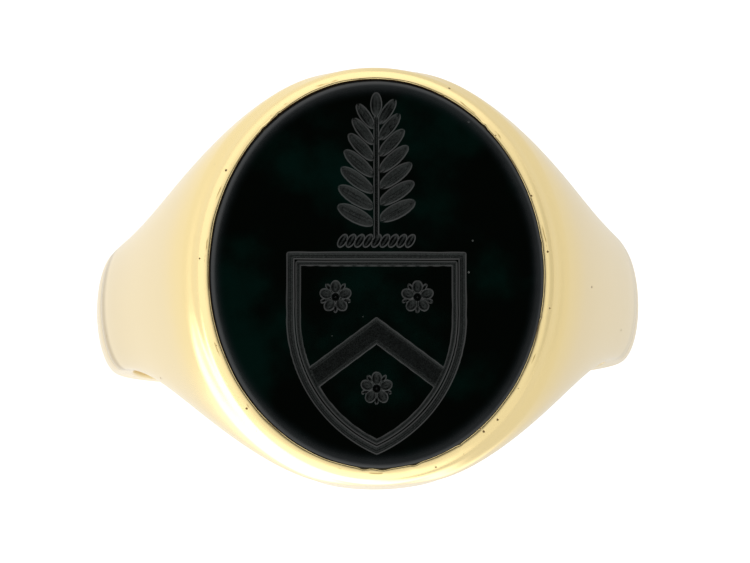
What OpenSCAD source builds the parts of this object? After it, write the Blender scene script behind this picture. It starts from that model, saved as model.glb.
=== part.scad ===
// Signet ring with an oval seal stone, set in a rubbed-over collar on an open-backed head.
// The finger hole runs along Y and is centred on the origin. The head faces +Z.
// Angles round the hoop are measured from the head (+Z) towards +X.

/* [Finger hole] */
// Inside diameter of the hoop, which is the ring size
bore_d = 18; // [15:0.5:21.6]

/* [Stone] */
// Length of the stone along the finger
stone_l = 14; // [11.5:0.5:17]
// Width of the stone across the finger
stone_w = 12; // [10:0.5:14.5]
// Thickness from the stone's back to its table
stone_t = 1.8; // [1.5:0.1:2.4]
// Width of the bevel round the table
bevel_w = 0.3; // [0.2:0.01:0.4]
// Height of the bevel
bevel_h = 0.24; // [0.18:0.01:0.3]
// Depth of the seal that is cut into the table
seal_depth = 0.22; // [0.1:0.01:0.35]

/* [Setting] */
// Wall of the collar that holds the stone
collar_t = 0.2; // [0.15:0.01:0.3]
// Height of the collar
collar_h = 1.2; // [0.8:0.1:1.5]
// How far the collar's lip lies over the bevel
lip_over = 0.08; // [0.04:0.01:0.12]
// Gold that shows outside the collar, on the head's rim
rim_w = 0.23; // [0.15:0.01:0.5]
// Gold between the finger hole and the bearer, at the middle of the head
floor_t = 0.5; // [0.4:0.05:0.8]
// Thickness of the bearer that the stone sits on
bearer_t = 0.4; // [0.3:0.05:0.6]
// Width of the bearer's ledge
bearer_w = 1.8; // [1:0.1:2.2]
// Thickness of the cement that beds the stone
cement_t = 0.07; // [0.05:0.01:0.12]
// Play round the stone inside the collar
stone_play = 0.02; // [0.01:0.01:0.05]
// Height of the stone's table above the rim
table_proud = 0.02; // [0:0.01:0.1]

/* [Hoop] */
// Thickness of the hoop at its back
wall_back = 1.2; // [1:0.05:2]
// Thickness of the hoop at its sides
wall_side = 1.35; // [1.1:0.05:2.2]
// Width of the hoop at its back
width_back = 4; // [3:0.1:5.5]
// Width of the hoop at its sides
width_side = 4.5; // [3.5:0.1:6.5]
// Height of the flat edge of the hoop, beside the finger hole
edge_h = 0.55; // [0.3:0.05:0.8]

/* [Shoulders] */
// How quickly the shoulders narrow away from the head
narrowing = 3.8; // [3:0.1:5]
// How quickly the shoulders thin away from the head
thinning = 4.1; // [3:0.1:5]
// How much the shoulders' edge rises towards the head
edge_rise = 1; // [0.5:0.1:1.5]
// Step down from the rim to the top of the shoulders
shoulder_drop = 0.2; // [0.1:0.05:0.4]

/* [Solder seams] */
// Angle from the head to the seam between a shoulder and the back shank
shank_seam_angle = 78; // [70:1:95]
// Thickness of a solder seam
solder_t = 0.08; // [0.05:0.01:0.15]

/* [Hidden] */

gold = [0.90, 0.74, 0.40];
solder_gold = [0.86, 0.72, 0.45];
stone_green = [0.02, 0.05, 0.04];
shellac = [0.45, 0.25, 0.10];

bore_r = bore_d / 2;
smooth = 96;                                // facets that a round shape is drawn with
overlap = 0.002;                            // how far stacked shapes run into each other

// Heights along Z, stacked from the finger hole up
bearer_z = bore_r + floor_t;
cement_z = bearer_z + bearer_t;
stone_z = cement_z + cement_t;
table_z = stone_z + stone_t;
girdle_z = table_z - bevel_h;
head_z = table_z - table_proud;
collar_z = head_z - collar_h;

// Half sizes of the ovals, as [across the finger, along the finger]
stone_half = [stone_w / 2, stone_l / 2];
seat_half = add(stone_half, stone_play);
collar_half = add(seat_half, collar_t);
head_half = add(collar_half, rim_w);
window_half = add(stone_half, -bearer_w);

// Rounded rim of the head, as three cones that turn from the wall to the top
rim_round = rim_w * 0.75;
rim_turns = [0, 30, 60, 90];

// Where the shoulders meet the head on its two long sides
shoulder_z = head_z - shoulder_drop;
shoulder_angle = atan(head_half[0] / shoulder_z);
shoulder_r = norm([head_half[0], shoulder_z]);
head_joint_angle = shoulder_angle + 9;
solder_turn = solder_t / (bore_r + wall_side) * 180 / PI;

// Numbers of steps in the lofted gold
profile_steps = 12;
head_steps = 24;
shoulder_steps = 16;
shank_steps = 36;
inside_r = bore_r - 0.6;                    // the loft starts inside the finger hole, which is drilled last
crown_flat = 0.004;                         // how far below its crown a rounded section is closed

// The seal's device
shield_steps = 16;
chevron_slope = 0.75;                       // fall of the chevron's arms for each unit across
leaf_steps = 12;
leaf_pairs = 4;
leaf_angle = 55;                            // from the stem

function add(half, more) = [half[0] + more, half[1] + more];

// Powers of cos(t) are used for everything that grows towards the head
function to_head(t, power) = pow(max(cos(t), 0), power);

// The smaller of two sizes, rounded over where they cross
function soft_min(a, b, k) = (a + b - sqrt(pow(a - b, 2) + k * k)) / 2;

// Half width of the hoop at its edge: a slow taper round the back, then the flare to the head
function hoop_half(t) =
    let (back = width_back / 2, side = width_side / 2,
         plain = back + (side - back) * (1 + cos(t)),
         flare = head_half[1] + 0.35 + back - 2 * side)
    soft_min(plain + flare * to_head(t, narrowing), head_half[1] + 0.05, 0.4);

// Radius of the plain hoop's crown
function plain_r(t) = bore_r + wall_back + (wall_side - wall_back) * (1 + cos(t));

// Radius of the crown with its shoulders, which pass under the head's rim
function crown_r(t) =
    let (flare = (shoulder_r - plain_r(shoulder_angle)) / to_head(shoulder_angle, thinning),
         free = plain_r(t) + flare * to_head(t, thinning))
    cos(t) > 0.1 ? soft_min(free, shoulder_z / cos(t), 0.4) : free;

// Radius at which the hoop is widest
function edge_r(t) = min(bore_r + edge_h + edge_rise * to_head(t, 4), crown_r(t) - 0.5);

// Half width of the hoop at a radius: upright below its edge, and rounded above it
function half_at(r, t) =
    let (edge = edge_r(t), rise = (r - edge) / (crown_r(t) - edge))
    r <= edge ? hoop_half(t) - (edge - r) * 0.06 : hoop_half(t) * sqrt(max(1 - rise * rise, 0));

// One half of the outline in the plane at angle t, as [radius, half width] from the bore up
function half_profile(t) =
    let (edge = edge_r(t), top = crown_r(t) - crown_flat)
    [for (i = [-1 : profile_steps])
        let (r = i < 0 ? inside_r : edge + (top - edge) * sin(90 * i / profile_steps))
        [r, half_at(r, t)]];

// The whole outline as points in space, going up one side and down the other
function section(t) =
    let (half = half_profile(t), last = len(half) - 1)
    concat([for (i = [0 : last]) place(half[i][0], half[i][1], t)],
           [for (i = [last : -1 : 0]) place(half[i][0], -half[i][1], t)]);
function place(r, y, t) = [r * sin(t), y, r * cos(t)];

// Solid gold between two angles round the hoop, before the finger hole is drilled
module gold_loft(from, to, steps) {
    rings = [for (j = [0 : steps]) section(from + (to - from) * j / steps)];
    n = len(rings[0]);
    points = [for (ring = rings) each ring];
    sides = [for (j = [0 : steps - 1]) for (i = [0 : n - 1])
        let (a = j * n + i, b = j * n + (i + 1) % n, c = a + n, d = b + n)
        each [[a, d, b], [a, c, d]]];
    ends = [for (i = [0 : n / 2 - 2])
        let (a = i, b = i + 1, c = n - 2 - i, d = n - 1 - i, e = steps * n)
        each [[a, b, c, d], [e + d, e + c, e + b, e + a]]];
    polyhedron(points, concat(sides, ends), convexity = 6);
}

module finger_hole() {
    rotate([90, 0, 0])
        cylinder(r = bore_r, h = 3 * stone_l, center = true, $fn = smooth);
}

// Oval prism that stands on z, or a cone from the outline `half` to the outline `top`
module oval(half, z, h, top = undef) {
    ratio = is_undef(top) ? [1, 1] : [top[0] / half[0], top[1] / half[1]];
    translate([0, 0, z]) linear_extrude(h, scale = ratio)
        polygon([for (i = [0 : smooth - 1])
            [half[0] * cos(360 * i / smooth), half[1] * sin(360 * i / smooth)]]);
}

module back_shank() {
    color(gold) difference() {
        gold_loft(shank_seam_angle + solder_turn / 2,
                  360 - shank_seam_angle - solder_turn / 2, shank_steps);
        finger_hole();
    }
}

module shoulder(side) {
    to = shank_seam_angle - solder_turn / 2;
    color(gold) difference() {
        gold_loft(side > 0 ? head_joint_angle : -to, side > 0 ? to : -head_joint_angle, shoulder_steps);
        finger_hole();
    }
}

module left_shoulder() { shoulder(-1); }

module right_shoulder() { shoulder(1); }

// The oval block of the head with its rounded rim, standing on the loft between the shoulders
module head_block() {
    rim_z = head_z - rim_round;
    foot_z = head_half[0] / tan(head_joint_angle - 0.5);
    oval(head_half, foot_z, rim_z - foot_z);
    for (i = [1 : len(rim_turns) - 1]) {
        low = add(head_half, rim_round * (cos(rim_turns[i - 1]) - 1));
        high = add(head_half, rim_round * (cos(rim_turns[i]) - 1));
        z = rim_z + rim_round * sin(rim_turns[i - 1]);
        h = rim_round * (sin(rim_turns[i]) - sin(rim_turns[i - 1]));
        oval(low, z - overlap, h + overlap, high);
    }
}

// The head, with the stone's pocket, the collar's wider step and the window behind the stone
module setting_head() {
    color(gold) difference() {
        union() {
            gold_loft(-head_joint_angle, head_joint_angle, head_steps);
            head_block();
        }
        finger_hole();
        oval(window_half, 0, head_z + 1);
        oval(seat_half, bearer_z, stone_t + 2);
        oval(collar_half, collar_z, collar_h + 1);
    }
}

// A thin wall round the stone, rubbed over its bevel at the top
module bezel_collar() {
    lip_half = add(stone_half, stone_play - lip_over);
    lip_z = girdle_z + (lip_over - stone_play) * bevel_h / bevel_w + 0.02;
    color(gold) difference() {
        oval(collar_half, collar_z, collar_h);
        oval(seat_half, collar_z - 1, lip_z - collar_z + 1);
        oval(lip_half, collar_z - 1, collar_h + 2);
    }
}

module stone_bearer() {
    color(gold) difference() {
        oval(seat_half, bearer_z, bearer_t);
        oval(window_half, bearer_z - 1, bearer_t + 2);
    }
}

module stone_cement() {
    color(shellac) difference() {
        oval(stone_half, cement_z, cement_t);
        oval(window_half, cement_z - 1, cement_t + 2);
    }
}

// Outline of the seal's shield: a flat top, straight sides down to the bend, then curved sides to the foot
function shield(half, top, bend, foot) =
    let (side_r = (pow(half, 2) + pow(bend - foot, 2)) / (2 * half),
         sweep = asin((bend - foot) / side_r),
         side = [for (k = [0 : shield_steps])
             let (a = sweep * k / shield_steps)
             [side_r * (cos(a) - 1) + half, bend - side_r * sin(a)]])
    concat([[-half, top], [half, top]], side,
           [for (k = [shield_steps - 1 : -1 : 0]) [-side[k][0], side[k][1]]]);

// Band across the shield that rises to a point at its middle
module chevron(half, peak, band) {
    arm = peak - half * chevron_slope;
    polygon([[-half, arm], [0, peak], [half, arm], [half, arm - band], [0, peak - band], [-half, arm - band]]);
}

module leaf(half) {
    polygon([for (k = [0 : leaf_steps - 1])
        [half[0] * cos(360 * k / leaf_steps), half[1] * sin(360 * k / leaf_steps)]]);
}

// Upright sprig with pairs of leaves, standing on a short bar
module sprig(foot, top, bar_half, thick, leaf_half) {
    translate([-bar_half, foot - thick]) square([2 * bar_half, thick]);
    translate([-thick / 2, foot - thick / 2]) square([thick, top - foot]);
    for (k = [1 : leaf_pairs]) for (side = [-1, 1])
        translate([0, foot + (top - foot - leaf_half[1]) * (k - 0.5) / leaf_pairs])
            rotate(-side * leaf_angle) translate([0, leaf_half[1]]) leaf(leaf_half);
    translate([0, top - leaf_half[1]]) leaf(leaf_half);
}

// The plain device that the seal carries: a shield with a chevron, and a sprig above it
module seal_cut() {
    translate([0, 0, table_z - seal_depth]) linear_extrude(seal_depth + 1) {
        difference() {
            polygon(shield(0.25 * stone_w, 0.04 * stone_l, -0.11 * stone_l, -0.45 * stone_l));
            chevron(0.3 * stone_w, -0.125 * stone_l, 0.05 * stone_l);
        }
        sprig(0.09 * stone_l, 0.45 * stone_l, 0.1 * stone_w, 0.02 * stone_w, [0.025 * stone_w, 0.06 * stone_l]);
    }
}

module seal_stone() {
    color(stone_green) difference() {
        union() {
            oval(stone_half, stone_z, stone_t - bevel_h);
            oval(stone_half, girdle_z, bevel_h, add(stone_half, -bevel_w));
        }
        seal_cut();
    }
}

module solder_seams() {
    half_turn = solder_turn / 2;
    for (middle = [shank_seam_angle, 360 - shank_seam_angle])
        color(solder_gold) difference() {
            gold_loft(middle - half_turn, middle + half_turn, 1);
            finger_hole();
        }
}

back_shank();
left_shoulder();
right_shoulder();
setting_head();
bezel_collar();
stone_bearer();
stone_cement();
seal_stone();
solder_seams();
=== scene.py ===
import math

import bmesh
import bpy
import numpy as np
from mathutils import Matrix, Vector


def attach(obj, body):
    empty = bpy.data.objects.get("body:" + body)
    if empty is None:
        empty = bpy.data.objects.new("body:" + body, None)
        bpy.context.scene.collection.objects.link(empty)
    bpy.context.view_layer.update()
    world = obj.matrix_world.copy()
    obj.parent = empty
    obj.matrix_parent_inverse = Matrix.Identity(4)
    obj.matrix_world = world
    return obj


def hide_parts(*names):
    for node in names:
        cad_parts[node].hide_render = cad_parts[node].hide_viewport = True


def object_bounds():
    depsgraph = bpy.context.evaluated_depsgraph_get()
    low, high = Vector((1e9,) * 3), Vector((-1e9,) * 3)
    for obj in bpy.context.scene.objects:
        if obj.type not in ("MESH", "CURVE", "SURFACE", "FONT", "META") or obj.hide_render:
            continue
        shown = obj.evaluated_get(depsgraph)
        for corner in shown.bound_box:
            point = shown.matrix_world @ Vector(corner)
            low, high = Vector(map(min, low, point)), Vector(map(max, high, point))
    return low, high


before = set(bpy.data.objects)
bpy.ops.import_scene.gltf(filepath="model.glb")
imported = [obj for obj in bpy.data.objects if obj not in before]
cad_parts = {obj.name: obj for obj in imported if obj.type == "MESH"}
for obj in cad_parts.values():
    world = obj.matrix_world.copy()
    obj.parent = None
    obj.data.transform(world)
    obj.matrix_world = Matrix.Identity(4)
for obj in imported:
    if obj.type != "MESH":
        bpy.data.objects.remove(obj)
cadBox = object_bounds()
mm = 0.001
print("frame loaded")

# sizes of the ring in millimetres and angles in degrees, the same as the CAD part's
ring = {
    "boreR": 9.0, "wallBack": 1.2, "wallSide": 1.35, "halfBack": 2.0, "halfSide": 2.25,
    "edgeH": 0.55, "edgeRise": 1.0, "rising": 4, "crownLeast": 0.5, "narrowing": 3.8, "thinning": 4.1,
    "stoneHalf": (6.0, 7.0), "headZ": 11.75, "tableZ": 11.77, "bearerZ": 9.5, "bearerT": 0.4,
    "cementT": 0.07, "collarH": 1.2, "windowIn": 1.8, "shoulderDrop": 0.2, "jointPast": 9,
    "footShort": 0.5, "seamAngle": 78.0, "seamT": 0.08,
}
# distances outwards from the stone's edge, in millimetres
offsets = {"seat": 0.02, "collar": 0.22, "rim": 0.45}
# how the gold is rounded and dented, in millimetres
softness = {
    "rimRoll": 0.58, "shoulderRoll": 0.9, "shoulderLift": 0.15, "blend": 0.14, "boreEdge": 0.12,
    "flareOver": 0.35, "flareEnd": 0.05, "flareBlend": 0.4, "seamWidth": 0.3, "seamDepth": 0.028,
    "lipTop": 0.05,
}

goldHalf = tuple(h + offsets["rim"] for h in ring["stoneHalf"])
shoulderZ = ring["headZ"] - ring["shoulderDrop"]
shoulderAngle = math.atan(goldHalf[0] / shoulderZ)
jointAngle = shoulderAngle + math.radians(ring["jointPast"])
# the head's oval ends just above its joints
footZ = goldHalf[0] / math.tan(jointAngle - math.radians(ring["footShort"]))
seamAngle = math.radians(ring["seamAngle"])
seamHalf = ring["seamT"] / 2 / (ring["boreR"] + ring["wallSide"])


def toHead(t, power):  # grows from the sides of the hoop to the head
    return np.maximum(np.cos(t), 0) ** power


def softMin(a, b, k):
    return (a + b - np.sqrt((a - b) ** 2 + k * k)) / 2


def roundMax(a, b, radius):  # the shape common to both, its convex corner rounded
    a, b = a + radius, b + radius
    return np.minimum(np.maximum(a, b), 0) + np.hypot(np.maximum(a, 0), np.maximum(b, 0)) - radius


def hoopHalf(t):  # half width of the hoop, which flares out to the head's length
    back, side = ring["halfBack"], ring["halfSide"]
    flare = goldHalf[1] + softness["flareOver"] + back - 2 * side
    plain = back + (side - back) * (1 + np.cos(t))
    wide = plain + flare * toHead(t, ring["narrowing"])
    return softMin(wide, goldHalf[1] + softness["flareEnd"], softness["flareBlend"])


def plainR(t):  # radius of the hoop's crown without the shoulders' flare
    return ring["boreR"] + ring["wallBack"] + (ring["wallSide"] - ring["wallBack"]) * (1 + np.cos(t))


def crownR(t):  # radius of the hoop's crown and of the shoulders, as if they weren't cut off under the stone
    flare = math.hypot(goldHalf[0], shoulderZ) - plainR(shoulderAngle)
    flare = flare / math.cos(shoulderAngle) ** ring["thinning"]
    return plainR(t) + flare * toHead(t, ring["thinning"])


def edgeR(t):  # radius where the hoop's straight sides end and its domed crown starts
    rise = ring["edgeRise"] * toHead(t, ring["rising"])
    return np.minimum(ring["boreR"] + ring["edgeH"] + rise, crownR(t) - ring["crownLeast"])


def ovalOut(x, y, half):  # distance outside an oval; the tiny terms here and below keep off a division by 0
    f = np.sqrt((x / half[0]) ** 2 + (y / half[1]) ** 2) + 1e-9
    return (f - 1) * f / np.sqrt((x / half[0] ** 2) ** 2 + (y / half[1] ** 2) ** 2 + 1e-12)


def goldOut(x, y, z):  # distance outside the gold, hoop and head run together
    t, r = np.arctan2(np.abs(x), z), np.hypot(x, z)
    half, edge = hoopHalf(t), edgeR(t)
    tall = crownR(t) - edge
    rise = np.maximum(r - edge, 0) / tall
    q = np.sqrt((y / half) ** 2 + rise ** 2) + 1e-9
    hoop = (q - 1) * q / np.sqrt((y / half ** 2) ** 2 + (rise / tall) ** 2 + 1e-9)
    hoop = roundMax(hoop, z - shoulderZ - softness["shoulderLift"], softness["shoulderRoll"])
    head = roundMax(ovalOut(x, y, goldHalf), z - ring["headZ"], softness["rimRoll"])
    return softMin(hoop, np.maximum(head, footZ - z), softness["blend"])


def reach(field, low, high, steps=30):  # halves the interval until the surface is found
    low, high = np.array(low, float), np.array(high, float)
    for _ in range(steps):
        middle = (low + high) / 2
        inside = field(middle) < 0
        low, high = np.where(inside, middle, low), np.where(inside, high, middle)
    return (low + high) / 2


def gridPiece(name, columns, rows, place):  # a grid whose points a formula places, in millimetres
    bm = bmesh.new()
    bmesh.ops.create_grid(bm, x_segments=columns, y_segments=rows, size=0.5)
    mesh = bpy.data.meshes.new(name)
    bm.to_mesh(mesh)
    flat = np.empty(len(mesh.vertices) * 3)
    mesh.vertices.foreach_get("co", flat)
    column = np.rint((flat[0::3] + 0.5) * columns).astype(int)
    row = np.rint((flat[1::3] + 0.5) * rows).astype(int)
    flat[0::3], flat[1::3], flat[2::3] = (c * mm for c in place(column, row))
    mesh.vertices.foreach_set("co", flat)
    bm.clear()
    bm.from_mesh(mesh)
    return bm, mesh


# distances in metres within which points are merged, and the angle past which an edge stays sharp
meshing = {"weld": 2e-7, "shortest": 1e-8, "sharp": 50}


def finishPiece(bm, mesh, name, material, node):
    bmesh.ops.remove_doubles(bm, verts=bm.verts, dist=meshing["weld"])
    bmesh.ops.dissolve_degenerate(bm, edges=bm.edges, dist=meshing["shortest"])
    bmesh.ops.recalc_face_normals(bm, faces=bm.faces)
    for face in bm.faces:
        face.smooth = True
    bm.to_mesh(mesh)
    bm.free()
    mesh.set_sharp_from_angle(angle=math.radians(meshing["sharp"]))
    piece = bpy.data.objects.new(name, mesh)
    bpy.context.collection.objects.link(piece)
    mesh.materials.append(material)
    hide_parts(node)
    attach(piece, "root")
    print(name, len(mesh.polygons), "faces")


class Wire:  # a socket's value, so that shader maths can be written as sums
    def __init__(self, tree, socket):
        self.tree, self.socket = tree, socket

    def join(self, operation, *values):
        return addNode(self.tree, "ShaderNodeMath", {"operation": operation}, dict(enumerate(values)))

    def __add__(self, other):
        return self.join("ADD", self, other)

    def __radd__(self, other):
        return self.join("ADD", other, self)

    def __sub__(self, other):
        return self.join("SUBTRACT", self, other)

    def __rsub__(self, other):
        return self.join("SUBTRACT", other, self)

    def __mul__(self, other):
        return self.join("MULTIPLY", self, other)

    def __rmul__(self, other):
        return self.join("MULTIPLY", other, self)

    def __abs__(self):
        return self.join("ABSOLUTE", self)


def addNode(tree, kind, settings=None, sockets=None, out=0):  # settings first, then values or links
    made = tree.nodes.new(kind)
    for key, value in (settings or {}).items():
        setattr(made, key, value)
    for key, value in (sockets or {}).items():
        if isinstance(value, Wire):
            tree.links.new(value.socket, made.inputs[key])
        else:
            made.inputs[key].default_value = value
    return Wire(tree, made.outputs[out])


def fade(value, low, high):  # 0 at low, 1 at high, eased between them
    return addNode(value.tree, "ShaderNodeMapRange", {"interpolation_type": "SMOOTHSTEP"},
                   {"Value": value, "From Min": low, "From Max": high})


def mixColour(amount, first, second):
    return addNode(amount.tree, "ShaderNodeMix", {"data_type": "RGBA"},
                   {0: amount, 6: first, 7: second}, out=2)


def newMaterial(name):
    material = bpy.data.materials.new(name)
    material.use_nodes = True
    tree = material.node_tree
    shader = next(n for n in tree.nodes if n.type == "BSDF_PRINCIPLED")
    where = addNode(tree, "ShaderNodeTexCoord", out="Object")
    return material, shader, where


def feed(shader, values):  # links what varies over the surface
    for key, value in values.items():
        value.tree.links.new(value.socket, shader.inputs[key])


def noise(where, size, detail=3, roughness=0.5, stretch=(1, 1, 1)):  # cloudy value, its size in millimetres
    scale = tuple(s / (size * mm) for s in stretch)
    scaled = addNode(where.tree, "ShaderNodeMapping", {}, {"Vector": where, "Scale": scale})
    return addNode(where.tree, "ShaderNodeTexNoise", {},
                   {"Vector": scaled, "Scale": 1.0, "Detail": detail, "Roughness": roughness})


def dots(where, size, radius):  # 1 at scattered points, sizes in millimetres
    scaled = addNode(where.tree, "ShaderNodeMapping", {}, {"Vector": where, "Scale": (1 / (size * mm),) * 3})
    away = addNode(where.tree, "ShaderNodeTexVoronoi", {}, {"Vector": scaled, "Scale": 1.0}, out="Distance")
    return 1 - fade(away, radius / size * 0.6, radius / size)


def ovalShare(where, half):  # 1 on an oval of these half sizes, less inside it
    flat = addNode(where.tree, "ShaderNodeVectorMath", {"operation": "MULTIPLY"},
                   {0: where, 1: (1 / (half[0] * mm), 1 / (half[1] * mm), 0)})
    return addNode(where.tree, "ShaderNodeVectorMath", {"operation": "LENGTH"}, {0: flat}, out="Value")


def axis(where, letter):
    return addNode(where.tree, "ShaderNodeSeparateXYZ", {}, {"Vector": where}, out=letter)


def bumpOf(height):  # the height is in millimetres
    return addNode(height.tree, "ShaderNodeBump", {}, {"Height": height, "Distance": mm}, out="Normal")


# colours; roughness, and what the brushing, the finger hole, pits and the painted shadow under the lip add to
# it; how strong the tarnish and painted shade at the seams and the scratches are; pits as their spacing and
# radius in millimetres; relief in millimetres
goldLook = {
    "polished": (0.86, 0.69, 0.345, 1), "shoulderTone": (0.82, 0.68, 0.41, 1), "pit": (0.16, 0.10, 0.04, 1),
    "stainAndShade": (0.42, 0.30, 0.11, 1), "lipShadow": (0.11, 0.06, 0.022, 1),
    "roughness": 0.2, "scratch": 0.1, "satin": 0.3, "pitRough": 0.3, "lipShadowRough": 0.4,
    "seamStainAndShade": 0.74, "nearSeamShade": 0.14, "rightLessShade": 0.68, "scratches": 0.8,
    "pits": (0.85, 0.06), "lipPits": (0.42, 0.06), "waviness": 0.015, "brushing": 0.0007, "pitDepth": 0.02,
}
solderLook = dict(goldLook, polished=(0.55, 0.44, 0.25, 1), shoulderTone=(0.50, 0.41, 0.25, 1), roughness=0.34)


def goldMaterial(name, look):
    material, shader, where = newMaterial(name)
    x, z = axis(where, "X"), axis(where, "Z")
    cloud = noise(where, 2.5)
    brushed = noise(where, 0.9, detail=8, roughness=0.75, stretch=(1, 9, 1))
    # millimetres from the stone, near enough
    out = (ovalShare(where, ring["stoneHalf"]) - 1) * (sum(ring["stoneHalf"]) / 2)
    onTop = fade(z, (ring["headZ"] - 0.35) * mm, (ring["headZ"] - 0.2) * mm)
    pits = dots(where, *look["pits"]) * fade(noise(where, 1.6), 0.5, 0.56)
    lipPits = dots(where, *look["lipPits"]) * fade(noise(where, 0.9), 0.5, 0.54)
    lipPits = lipPits * onTop * (1 - fade(out, 0.26, 0.34))
    dark = pits.join("MAXIMUM", pits, lipPits)
    # paler gold down the shoulders, between these heights
    shoulderTone = fade(z + cloud * 0.6 * mm, 11.4 * mm, 9.4 * mm) * fade(z, -4 * mm, 3 * mm)
    # tarnish in the crease of each seam and, fainter, beside it, which is also painted shade standing in for
    # the dark reflection along the ring's sides; less on the right, where that reflection is fainter
    turn = x.join("ARCTAN2", abs(x), z)
    seam = 1 - fade(abs(turn - seamAngle + 0.055), 0.015, 0.07)
    nearSeam = 1 - fade(abs(turn - seamAngle), 0.1, 0.5)
    seamTarnishAndShade = seam * look["seamStainAndShade"] + nearSeam * look["nearSeamShade"]
    seamTarnishAndShade = seamTarnishAndShade * (1 - look["rightLessShade"] * fade(x, -mm, mm))
    # short scratches that wander along the collar, and a painted shadow under its lip, in the gap against the
    # stone
    scratches = fade(abs(out + noise(where, 1.3) * 0.2 - 0.2), 0.035, 0.01) * onTop
    scratches = scratches * fade(noise(where, 1.1), 0.59, 0.66) * look["scratches"]
    atTop = fade(axis(where, "Y"), 2 * mm, 7 * mm) * softness["lipTop"]
    lipShadowMask = onTop * (1 - fade(out - atTop + noise(where, 0.5) * 0.02, -0.064, -0.052))
    base = mixColour(shoulderTone, look["polished"], look["shoulderTone"])
    # one dark colour for the scratches and for the seams' tarnish, which is partly painted shade
    base = mixColour(seamTarnishAndShade.join("MAXIMUM", seamTarnishAndShade, scratches), base, look["stainAndShade"])
    base = mixColour(dark, base, look["pit"])
    # the painted shadow under the lip, dark brown
    base = mixColour(lipShadowMask, base, look["lipShadow"])
    inBore = 1 - fade(x * x + z * z, (ring["boreR"] * mm) ** 2, ((ring["boreR"] + 0.06) * mm) ** 2)
    rough = brushed * look["scratch"] + (look["roughness"] - look["scratch"] * 0.5)
    rough = rough + dark * look["pitRough"] + lipShadowMask * look["lipShadowRough"] + inBore * look["satin"]
    height = cloud * look["waviness"] + brushed * look["brushing"] - dark * look["pitDepth"]
    feed(shader, {"Base Color": base, "Roughness": rough, "Normal": bumpOf(height)})
    shader.inputs["Metallic"].default_value = 1.0
    return material


gold = goldMaterial("gold", goldLook)
solderGold = goldMaterial("solderGold", solderLook)

# colours; roughness, and what the cuts, the edge and rubbing add to it; how metallic the cuts look, which
# dims their reflections as painted shade in them; the pale specks as their spacing and radius in millimetres;
# relief in millimetres
stoneLook = {
    "dark": (0.0007, 0.0012, 0.0008, 1), "green": (0.0006, 0.0048, 0.0036, 1),
    "speck": (0.10, 0.11, 0.10, 1), "hazeAndSheen": (0.006, 0.008, 0.009, 1),
    "cutLow": (0.003, 0.004, 0.0035, 1), "cutHigh": (0.010, 0.013, 0.012, 1),
    "roughness": 0.03, "cutRoughness": 0.14, "edgeRoughness": 0.25, "rubbedRoughness": 0.08,
    "cutShadeMetal": 0.75, "specks": (0.62, 0.04), "grain": 0.012, "speckDepth": 0.004,
}


def stoneMaterial(look):
    material, shader, where = newMaterial("bloodstone")
    cloud = fade(noise(where, 3.2, detail=5), 0.45, 0.68)
    base = mixColour(cloud, look["dark"], look["green"])
    specks = dots(where, *look["specks"]) * fade(noise(where, 1.3), 0.55, 0.62)
    z = axis(where, "Z")
    share = ovalShare(where, ring["stoneHalf"])
    inside = 1 - fade(share, 0.925, 0.93)
    cut = (1 - fade(z, (ring["tableZ"] - 0.03) * mm, (ring["tableZ"] - 0.006) * mm)) * inside
    grain = noise(where, 0.07, detail=4, roughness=0.7)
    base = mixColour(specks * 0.6, base, look["speck"])
    base = mixColour(cut, base, mixColour(fade(grain, 0.35, 0.7), look["cutLow"], look["cutHigh"]))
    rubbed = noise(where, 0.5, detail=6) * noise(where, 2.0)
    # a grey-blue edge, partly rubbing and partly a painted sheen on the bevel
    hazeAndSheen = fade(share + rubbed * 0.03, 0.9, 1.0)
    base = mixColour(hazeAndSheen, base, look["hazeAndSheen"])
    edge = fade(share, 0.9, 0.965) * look["edgeRoughness"]
    rough = cut * look["cutRoughness"] + edge + look["roughness"] + rubbed * look["rubbedRoughness"]
    normal = bumpOf(cut * grain * look["grain"] - specks * look["speckDepth"])
    # the cuts made partly metallic with their dark colour, which dims their reflections: painted shade in the
    # cuts
    cutShading = cut * look["cutShadeMetal"]
    feed(shader, {"Base Color": base, "Roughness": rough, "Normal": normal, "Metallic": cutShading})
    return material


bloodstone = stoneMaterial(stoneLook)
cementLook = {"dark": (0.22, 0.11, 0.045, 1), "pale": (0.42, 0.26, 0.12, 1), "grain": 0.5, "roughness": 0.55}


def cementMaterial(look):
    material, shader, where = newMaterial("shellac")
    feed(shader, {"Base Color": mixColour(noise(where, look["grain"]), look["dark"], look["pale"])})
    shader.inputs["Roughness"].default_value = look["roughness"]
    return material


shellac = cementMaterial(cementLook)
print("materials made")

# rows round each edge of the finger hole and along it; how far out a section's surface is looked for and
# where the closed ends come together, in millimetres from the hole; the columns and outer rows of each piece
hoopMesh = {
    "edge": 4, "bore": 12, "far": 9.0, "heart": 0.6,
    "shoulder": (150, 160), "shank": (400, 110), "seam": (2, 110),
}


def fromTop(t):  # the angle from the head, the same on the left and on the right
    return np.where(np.abs(t) > np.pi, 2 * np.pi - np.abs(t), np.abs(t))


def hoopPoint(t, turn):  # where a line across the hoop's section at angle t leaves the gold: turn -1 to 1
    base = ring["boreR"] + softness["boreEdge"]
    near = fromTop(t)
    across = hoopHalf(near) * np.sin(turn * np.pi / 2)
    up = (crownR(near) - base) * np.cos(turn * np.pi / 2)
    size = np.hypot(across, up)
    across, up = across / size, up / size

    def field(s):
        r = base + s * up
        return goldOut(r * np.sin(near), s * across, r * np.cos(near))
    s = reach(field, np.zeros_like(near), np.full_like(near, hoopMesh["far"]))
    return base + s * up, s * across


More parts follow.
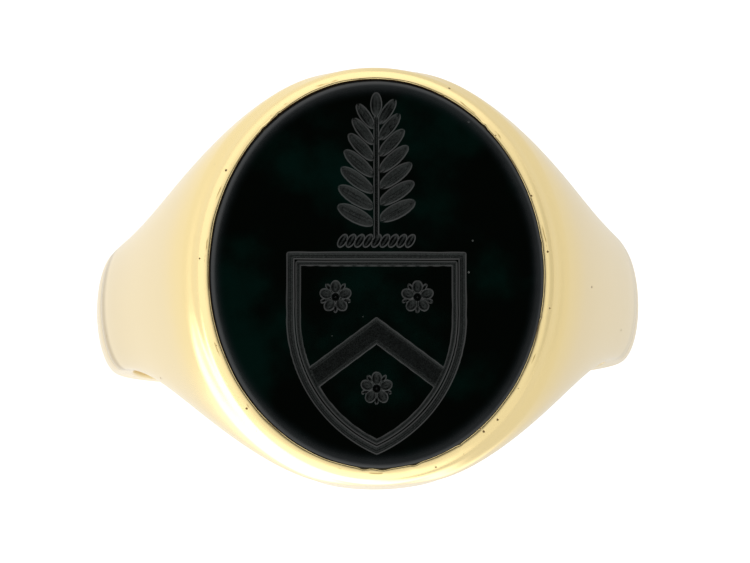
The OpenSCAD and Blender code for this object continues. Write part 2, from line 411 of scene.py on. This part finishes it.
def hoopPiece(name, start, end, size, material, node):
    along, around = size
    bevel, boreR = softness["boreEdge"], ring["boreR"]
    # rows go over the outside, round one edge, along the finger hole and round the other edge
    turned = around + hoopMesh["edge"]
    through = turned + hoopMesh["bore"]
    rows = through + hoopMesh["edge"]
    turns = start + (end - start) * np.arange(along + 1) / along
    edges = hoopPoint(turns, np.ones_like(turns))[1]

    def place(column, row):
        station = np.clip(column - 1, 0, along)  # a column more at each end closes the section
        t, edge = turns[station], edges[station]
        r, y = hoopPoint(t, np.clip(row / around * 2 - 1, -1, 1))
        inner = row > around
        share = np.clip((row - turned) / hoopMesh["bore"], 0, 1)
        straight = (share > 0) & (share < 1)
        bend = np.clip(np.minimum(row - around, rows - row) / hoopMesh["edge"], 0, 1) * np.pi / 2
        side = np.where(row >= through, -1, 1)
        bentY = side * (edge - bevel + bevel * np.cos(bend))
        bentR = boreR + bevel - bevel * np.sin(bend)
        y = np.where(inner, np.where(straight, (edge - bevel) * (1 - 2 * share), bentY), y)
        r = np.where(inner, np.where(straight, boreR, bentR), r)
        away = (fromTop(t) - seamAngle) * r
        r = r - np.where(inner, 0, softness["seamDepth"] * np.exp(-(away / softness["seamWidth"]) ** 2))
        shut = (column == 0) | (column == along + 2)
        r, y = np.where(shut, boreR + hoopMesh["heart"], r), np.where(shut, 0, y)
        return r * np.sin(t), y, r * np.cos(t)
    bm, mesh = gridPiece(name, along + 2, rows, place)
    finishPiece(bm, mesh, name, material, node)


seamStart, seamEnd = seamAngle - seamHalf, seamAngle + seamHalf
hoopPiece("rightShoulder", jointAngle, seamStart, hoopMesh["shoulder"], gold, "right_shoulder")
hoopPiece("leftShoulder", -seamStart, -jointAngle, hoopMesh["shoulder"], gold, "left_shoulder")
hoopPiece("backShank", seamEnd, 2 * math.pi - seamEnd, hoopMesh["shank"], gold, "back_shank")
hoopPiece("seamRight", seamStart, seamEnd, hoopMesh["seam"], solderGold, "solder_seams")
hoopPiece("seamLeft", -seamEnd, -seamStart, hoopMesh["seam"], solderGold, "solder_seams")

# columns, rows over the outside and how they gather at the rim, and rows across the finger hole's wall; the
# height that lines start from, how far along them the surface is looked for and how far down they lean, in
# radians; the heights that the rim's top is between
head = {
    "columns": 560, "rows": 130, "gather": 0.38, "boreRows": 5,
    "lineZ": 9.6, "near": 2.0, "far": 14.0, "lowest": 0.9, "topZ": (10.8, 12.0),
}


def headPoint(phi, psi):  # where a line from the middle of the head leaves the gold
    side, up = np.cos(psi), np.sin(psi)

    def at(s):
        return s * side * np.cos(phi), s * side * np.sin(phi), head["lineZ"] + s * up
    s = reach(lambda s: goldOut(*at(s)), np.full_like(phi, head["near"]), np.full_like(phi, head["far"]))
    return at(s)


def topHeight(x, y):  # height of the gold above a point of its rim
    low, high = head["topZ"]
    return reach(lambda z: goldOut(x, y, z), np.full_like(x, low), np.full_like(x, high))


def headPiece():
    step = tuple(h + offsets["collar"] for h in ring["stoneHalf"])
    pocket = tuple(h + offsets["seat"] for h in ring["stoneHalf"])
    window = tuple(h - ring["windowIn"] for h in ring["stoneHalf"])
    boreR, bevel, stepZ = ring["boreR"], softness["boreEdge"], ring["headZ"] - ring["collarH"]
    levels = ((window, ring["bearerZ"]), (pocket, ring["bearerZ"]), (pocket, stepZ), (step, stepZ))
    tops, inner = head["rows"], head["boreRows"]
    lastRow = tops + 1 + inner + len(levels)
    oval = np.arange(head["columns"] + 1) * 2 * np.pi / head["columns"]
    rimX, rimY = np.cos(oval) * step[0], np.sin(oval) * step[1]
    phi = np.arctan2(rimY, rimX)
    psiTop = np.arctan2(topHeight(rimX, rimY) - head["lineZ"], np.hypot(rimX, rimY))
    topX, topY, topZ = headPoint(phi, psiTop)

    def past(psi):  # over 0 where a line leaves the gold below the joint or inside the finger hole
        x, y, z = headPoint(phi, psi)
        return np.maximum(np.arctan2(np.abs(x), z) - jointAngle, (boreR + bevel - np.hypot(x, z)) / 10)
    psiEnd = -reach(lambda p: past(-p), -psiTop, np.full_like(psiTop, head["lowest"]))
    endX, endY, endZ = headPoint(phi, psiEnd)
    endT = np.arctan2(endX, endZ)
    # the finger hole's edge is bevelled where the head itself ends there, and not at a joint
    atHole = np.hypot(endX, endZ) < boreR + bevel + 0.02
    shrink = np.where(atHole, 1 - bevel / np.maximum(np.abs(endY), 0.5), 1)
    lowX, lowY = boreR * np.sin(endT), endY * shrink
    windowX, windowY = window[0] * np.cos(oval), window[1] * np.sin(oval)

    def place(column, row):
        share = np.clip(row / tops, 0, 1)
        share = share * (1 - head["gather"] + head["gather"] * share)
        x, y, z = headPoint(phi[column], psiTop[column] + (psiEnd - psiTop)[column] * share)
        for k in range(inner):  # along the finger hole to the window
            here = row == tops + 1 + k
            inwards = k / (inner - 1)
            boreX = (lowX + (windowX - lowX) * inwards)[column]
            boreY = (lowY + (windowY - lowY) * inwards)[column]
            x, y = np.where(here, boreX, x), np.where(here, boreY, y)
            z = np.where(here, np.sqrt(boreR ** 2 - boreX ** 2), z)
        for k, (half, level) in enumerate(levels):  # up the window and the pocket
            here = row == tops + 1 + inner + k
            x = np.where(here, half[0] * np.cos(oval)[column], x)
            y = np.where(here, half[1] * np.sin(oval)[column], y)
            z = np.where(here, level, z)
        last = row == lastRow
        x, y = np.where(last, topX[column], x), np.where(last, topY[column], y)
        return x, y, np.where(last, topZ[column], z)
    bm, mesh = gridPiece("settingHead", head["columns"], lastRow, place)
    finishPiece(bm, mesh, "settingHead", gold, "setting_head")


headPiece()

# the collar's lip, in millimetres: its wobble outwards and upwards is a sum of waves, each as how many there
# are, where it starts and how strong it is; a nick is its place and its width in degrees, and its depth
lip = {
    "crest": -0.055, "over": 0.11, "reach": 0.25, "wobble": 0.016, "upwards": 0.4,
    "wavesOut": ((7, 1, 0.4), (13, 2.5, 0.35), (29, 0.7, 0.25)),
    "wavesUp": ((11, 4, 0.5), (23, 1.5, 0.3), (41, 0, 0.2)),
    "nicks": (
        (-96, 1.6, 0.06), (-89.5, 2.2, 0.06), (-78.5, 1.8, 0.065), (-62, 0.8, 0.03), (124, 0.9, 0.03),
        (131, 1.2, 0.035), (48, 1.0, 0.03), (8, 1.2, 0.025), (-14, 0.8, 0.03),
    ),
}


def waves(oval, each):
    return sum(strength * np.sin(oval * count + start) for count, start, strength in each)


# a profile carried round an oval: each of its points has its distance from the stone's edge and its height,
# then how far it is free to wobble and how far it follows the head's top
def ovalRing(name, columns, profile, material, node, wobble=0.0, nicks=()):
    points = [point + (0,) * (4 - len(point)) for point in profile]
    off, level, free, joined = (np.array([p[k] for p in points]) for k in range(4))

    def place(column, row):
        oval = column * 2 * np.pi / columns
        k = row % len(points)
        out = off[k] + wobble * free[k] * waves(oval, lip["wavesOut"])
        for angle, width, depth in nicks:
            turn = oval - math.radians(angle)
            away = np.degrees(np.arctan2(np.sin(turn), np.cos(turn)))
            out = out + free[k] * depth * np.exp(-(away / width) ** 2)
        onLip = (off[k] < 0) & (level[k] > ring["headZ"] - lip["reach"])
        out = out + onLip * softness["lipTop"] * np.clip(np.sin(oval), 0, 1) ** 2
        z = level[k] + wobble * lip["upwards"] * free[k] * waves(oval, lip["wavesUp"])
        x, y = (ring["stoneHalf"][0] + out) * np.cos(oval), (ring["stoneHalf"][1] + out) * np.sin(oval)
        if joined.any():
            jointX = (ring["stoneHalf"][0] + offsets["collar"]) * np.cos(oval)
            jointY = (ring["stoneHalf"][1] + offsets["collar"]) * np.sin(oval)
            z = z + joined[k] * (topHeight(jointX, jointY) - level[joined.argmax()])
        return x, y, z
    bm, mesh = gridPiece(name, columns, len(points), place)
    finishPiece(bm, mesh, name, material, node)


def collarProfile():  # up the outside, over the rim's roll, round the lip's nose and down against the stone
    roll, headZ, crest, collar = softness["rimRoll"], ring["headZ"], lip["crest"], offsets["collar"]
    middle = offsets["rim"] - roll
    foot, deep, steps = headZ - ring["collarH"], headZ - 0.3, 8
    points = [(collar, foot), (collar, deep)]
    for k in range(steps + 1):
        out = collar + (crest - collar) * k / steps
        top = headZ - roll + math.sqrt(roll ** 2 - (out - middle) ** 2)
        points.append((out, top, k / steps, 1 - k / steps))
    points += [(crest - 0.012, headZ - 0.012, 1), (crest - 0.02, headZ - 0.03, 1)]
    points += [(-lip["over"], headZ - 0.13), (-lip["over"] + 0.01, headZ - 0.2)]
    return points + [(offsets["seat"], deep), (offsets["seat"], foot)]


ringColumns = {"collar": 720, "bearer": 240, "cement": 240}
ovalRing("bezelCollar", ringColumns["collar"], collarProfile(), gold, "bezel_collar",
         lip["wobble"], lip["nicks"])
seat, ledge, bevel = offsets["seat"], -ring["windowIn"], 0.05
low, high = ring["bearerZ"], ring["bearerZ"] + ring["bearerT"]
bearerProfile = [(seat, low), (seat, high), (ledge + bevel, high), (ledge, high - bevel), (ledge, low)]
ovalRing("stoneBearer", ringColumns["bearer"], bearerProfile, gold, "stone_bearer")
low, high = high, high + ring["cementT"]
cementProfile = [(0, low), (0, high), (ledge, high), (ledge, low)]
ovalRing("stoneCement", ringColumns["cement"], cementProfile, shellac, "stone_cement")

# the bevel's width and drop in millimetres where it is widest and narrowest, and where it is widest in
# degrees; the step below it and the stone's thickness; columns, rows, how they gather at the edge, and the
# bevel's rows
stone = {
    "bevelW": (0.38, 0.2), "bevelH": (0.22, 0.16), "wideAt": 160, "girdle": 0.03, "thick": 1.8,
    "columns": 256, "rows": 314, "gather": 0.25, "bevelRows": 9,
}
# the seal in millimetres: a plain shield with a chevron between three roses, and a sprig on a twisted bar
seal = {
    "lean": -1.3, "shieldHalf": 3.05, "shieldTop": 0.62, "shieldFoot": -6.3, "sides": -1.6,
    "outline": (0.11, 0.08), "inline": (0.07, 0.045), "between": 0.28, "field": -0.34,
    "chevronTop": -1.75, "chevronSlope": 0.75, "chevronHalf": 0.3, "chevronDepth": 0.055,
    "roses": ((-1.45, -0.85), (1.45, -0.85), (0, -4.1)), "petals": 5,
    "barZ": 1.15, "stem": (1.3, 6.05), "leafPairs": 7,
}


def groove(distance, width, depth):  # a wheel-cut groove, round at the bottom
    return depth * np.clip(1 - (distance / width) ** 2, 0, 1)


def pit(x, y, cx, cy, rx, ry, turn, depth):  # a boat-shaped cut
    c, s = math.cos(turn), math.sin(turn)
    u, v = (x - cx) * c + (y - cy) * s, -(x - cx) * s + (y - cy) * c
    return depth * np.clip(1 - (u / rx) ** 2 - (v / ry) ** 2, 0, 1)


def fromStroke(x, y, ax, ay, bx, by):  # distance from a straight stroke
    dx, dy = bx - ax, by - ay
    k = np.clip(((x - ax) * dx + (y - ay) * dy) / (dx * dx + dy * dy), 0, 1)
    return np.hypot(x - ax - k * dx, y - ay - k * dy)


def shieldOut(x, y):  # distance outside the shield
    half, foot, bend = seal["shieldHalf"], seal["shieldFoot"], seal["sides"]
    sideR = (half ** 2 + (foot - bend) ** 2) / (2 * half)
    sides = np.hypot(np.abs(x) + sideR - half, np.minimum(y - bend, 0)) - sideR
    return np.maximum(sides, y - seal["shieldTop"])


def shieldCuts(x, y):  # the shield's two lines, its chevron, the hatching of its field and its roses
    shield, half = shieldOut(x, y), seal["chevronHalf"]
    inside = np.where(shield < seal["field"], 1, 0)
    chevron = y - seal["chevronTop"] + np.abs(x) * seal["chevronSlope"]
    across = np.abs(chevron + half) / math.hypot(1, seal["chevronSlope"])
    hatching = 0.008 * (0.5 + 0.5 * np.sin(x * 14))
    cuts = [groove(shield, *seal["outline"]), groove(shield + seal["between"], *seal["inline"])]
    cuts.append(inside * np.where(across < half, seal["chevronDepth"], 0))
    cuts.append(inside * groove(across - half, 0.06, 0.08))
    cuts.append(inside * hatching * np.where(across > half + 0.1, 1, 0))
    for cx, cy in seal["roses"]:
        cuts.append(pit(x, y, cx, cy, 0.15, 0.15, 0, 0.2))
        for k in range(seal["petals"]):  # a petal, and a sepal that shows beside it
            a = math.pi / 2 + 2 * math.pi * k / seal["petals"]
            cuts.append(pit(x, y, cx + 0.35 * math.cos(a), cy + 0.35 * math.sin(a), 0.22, 0.17, a, 0.13))
            a += math.pi / seal["petals"]
            cuts.append(pit(x, y, cx + 0.42 * math.cos(a), cy + 0.42 * math.sin(a), 0.14, 0.05, a, 0.08))
    return cuts


def sprigCuts(x, y):  # the twisted bar, the stem, its pairs of leaves and the bud
    low, high = seal["stem"]
    cuts = [pit(x, y, k * 0.3, seal["barZ"], 0.25, 0.12, 1.0, 0.14) for k in range(-4, 5)]
    cuts.append(groove(fromStroke(x, y, 0, low, 0, high - 0.5), 0.07, 0.08))
    for k in range(seal["leafPairs"]):
        share = k / (seal["leafPairs"] - 1)
        cy = low + 0.5 + (high - low - 1.3) * share
        long = 0.95 - 0.4 * share - 0.2 * (1 - share) ** 3
        for side in (-1, 1):
            a = math.pi / 2 - side * math.radians(62 - 28 * share)
            lx, ly = side * 0.08 + long * math.cos(a), cy + long * math.sin(a) + 0.08 * side
            leaf = pit(x, y, lx, ly, long * 0.95, 0.25 - 0.08 * share, a, 0.13)
            vein = fromStroke(x, y, side * 0.08, cy, lx + 0.5 * math.cos(a), ly + 0.5 * math.sin(a))
            cuts.append(np.where(leaf > 0, np.maximum(leaf - groove(vein, 0.035, 0.05), 0.01), 0))
    cuts.append(pit(x, y, 0, high, 0.42, 0.19, math.pi / 2, 0.13))
    return cuts


def stonePiece():
    half, (wide, narrow), (tall, low) = ring["stoneHalf"], stone["bevelW"], stone["bevelH"]
    columns, rows, steps, gather = stone["columns"], stone["rows"], stone["bevelRows"], stone["gather"]
    lean = math.radians(seal["lean"])

    def place(column, row):  # a square grid drawn out to an oval
        u, v = column / columns * 2 - 1, row / rows * 2 - 1
        u = u * (1 - gather + gather * u ** 4)
        x = u * np.sqrt(1 - v ** 2 / 2) * (half[0] - wide)
        y = v * np.sqrt(1 - u ** 2 / 2) * (half[1] - wide)
        z = ring["tableZ"] - np.maximum.reduce(shieldCuts(x, y) + sprigCuts(x, y))
        return x * math.cos(lean) - y * math.sin(lean), x * math.sin(lean) + y * math.cos(lean), z
    bm, mesh = gridPiece("sealStone", columns, rows, place)
    border = [e for e in bm.edges if e.is_boundary]
    for k in range(1, steps + 3):  # the soft turn down to the girdle, wider on one side, then the wall
        made = bmesh.ops.extrude_edge_only(bm, edges=border)["geom"]
        border = [g for g in made if isinstance(g, bmesh.types.BMEdge)]
        for vert in {v for e in border for v in e.verts}:
            a = math.atan2(vert.co.y / half[1], vert.co.x / half[0])
            share = (1 + math.cos(a - math.radians(stone["wideAt"]))) / 2
            bevelW, bevelH = narrow + (wide - narrow) * share, low + (tall - low) * share
            off = -wide * (1 - min(k / steps, 1))
            drop = bevelH * max(1 + off / bevelW, 0) ** 3
            if k == steps + 1:
                drop += stone["girdle"]
            if k == steps + 2:
                drop = stone["thick"]
            x, y = (half[0] + off) * math.cos(a), (half[1] + off) * math.sin(a)
            vert.co = Vector((x, y, ring["tableZ"] - drop)) * mm
    bmesh.ops.contextual_create(bm, geom=border)
    finishPiece(bm, mesh, "sealStone", bloodstone, "seal_stone")


stonePiece()

# brightness of the surroundings; a patch is where it is, its outer and inner half angle, and its brightness
light = {
    "around": 1.0, "seen": 1.05,
    "patches": (
        ((-0.95, 0.15, 0.25), 60, 25, 1.3), ((0, 0.95, 0.3), 50, 20, 1.4),
        ((-0.17, -0.95, 0.2), 55, 20, 1.7), ((0.97, 0.12, 0.18), 34, 12, 0.75),
        ((0.031, 0.118, 0.99), 26, 7.5, 0.002),
    ),
}


def whereSeen(value, plain):  # the surroundings are plain white themselves, and shaded only in reflections
    seen = addNode(value.tree, "ShaderNodeLightPath", out="Is Camera Ray")
    return value + seen * (plain - value)


def worldLight():
    world = bpy.data.worlds.new("studio")
    bpy.context.scene.world = world
    world.use_nodes = True
    tree = world.node_tree
    background = next(n for n in tree.nodes if n.type == "BACKGROUND")
    direction = addNode(tree, "ShaderNodeTexCoord", out="Generated")
    value = light["around"]
    for aim, outer, inner, bright in light["patches"]:
        dot = addNode(tree, "ShaderNodeVectorMath", {"operation": "DOT_PRODUCT"},
                      {0: direction, 1: tuple(Vector(aim).normalized())}, out="Value")
        mask = fade(dot, math.cos(math.radians(outer)), math.cos(math.radians(inner)))
        value = value + mask * (bright - value)
    value = whereSeen(value, light["seen"])
    background.inputs["Color"].default_value = (1, 1, 1, 1)
    tree.links.new(value.socket, background.inputs["Strength"])


# the floor's radius and its drop below the ring in metres; its glow on the left, on the right, in front and
# as it is seen; where the glow changes, in metres
floorLook = {
    "radius": 0.6, "drop": 0.00005, "grey": (0.45, 0.45, 0.45, 1), "roughness": 0.9,
    "left": 0.6, "right": 0.42, "front": 2.5, "seen": 0.74,
    "across": (-0.01, 0.01), "frontFrom": (-0.011, -0.028), "frontEnds": (-0.005, 0.03),
}


def stageFloor(look):
    bm = bmesh.new()
    bmesh.ops.create_circle(bm, cap_ends=True, segments=96, radius=look["radius"])
    bmesh.ops.translate(bm, verts=bm.verts, vec=(0, 0, cadBox[0][2] - look["drop"]))
    mesh = bpy.data.meshes.new("floor")
    bm.to_mesh(mesh)
    bm.free()
    floor = bpy.data.objects.new("floor", mesh)
    bpy.context.collection.objects.link(floor)
    material, shader, where = newMaterial("floorWhite")
    x, y = axis(where, "X"), axis(where, "Y")
    glow = look["left"] + fade(x, *look["across"]) * (look["right"] - look["left"])
    front = fade(y, *look["frontFrom"]) * (1 - fade(x, *look["frontEnds"]))
    glow = whereSeen(glow + front * (look["front"] - glow), look["seen"])
    colour = addNode(glow.tree, "ShaderNodeCombineColor", {}, {"Red": glow, "Green": glow, "Blue": glow})
    feed(shader, {"Emission Color": colour})
    shader.inputs["Base Color"].default_value = look["grey"]
    shader.inputs["Roughness"].default_value = look["roughness"]
    shader.inputs["Specular IOR Level"].default_value = 0.0
    shader.inputs["Emission Strength"].default_value = 1.0
    mesh.materials.append(material)


worldLight()
stageFloor(floorLook)

# angles in degrees; the distance, the width seen at the stone and the aim's shift in millimetres
camera = {
    "elevation": 83.2, "yaw": 1.8, "roll": 1.4, "distance": 140.0, "widthAtStone": 26.55,
    "off": (-0.053, -0.30), "sensor": 36, "clip": (0.01, 5),
}


def addCamera():
    data = bpy.data.cameras.new("camera")
    shot = bpy.data.objects.new("camera", data)
    bpy.context.collection.objects.link(shot)
    back = Vector((-math.sin(math.radians(camera["yaw"])), -math.cos(math.radians(camera["elevation"])), 0))
    back.z = math.sqrt(1 - back.length_squared)
    right = Vector((0, 1, 0)).cross(back).normalized()
    up = back.cross(right)
    roll = math.radians(camera["roll"])
    right, up = right * math.cos(roll) - up * math.sin(roll), up * math.cos(roll) + right * math.sin(roll)
    aim = Vector((0, 0, ring["tableZ"])) + right * camera["off"][0] + up * camera["off"][1]
    shot.matrix_world = Matrix((right, up, back)).transposed().to_4x4()
    shot.location = (aim + back * camera["distance"]) * mm
    data.sensor_width = camera["sensor"]
    data.lens = camera["sensor"] * camera["distance"] / camera["widthAtStone"]
    data.clip_start, data.clip_end = camera["clip"]
    bpy.context.scene.camera = shot


addCamera()
bpy.context.scene.view_settings.view_transform = "Standard"
print("stage, light and camera set")
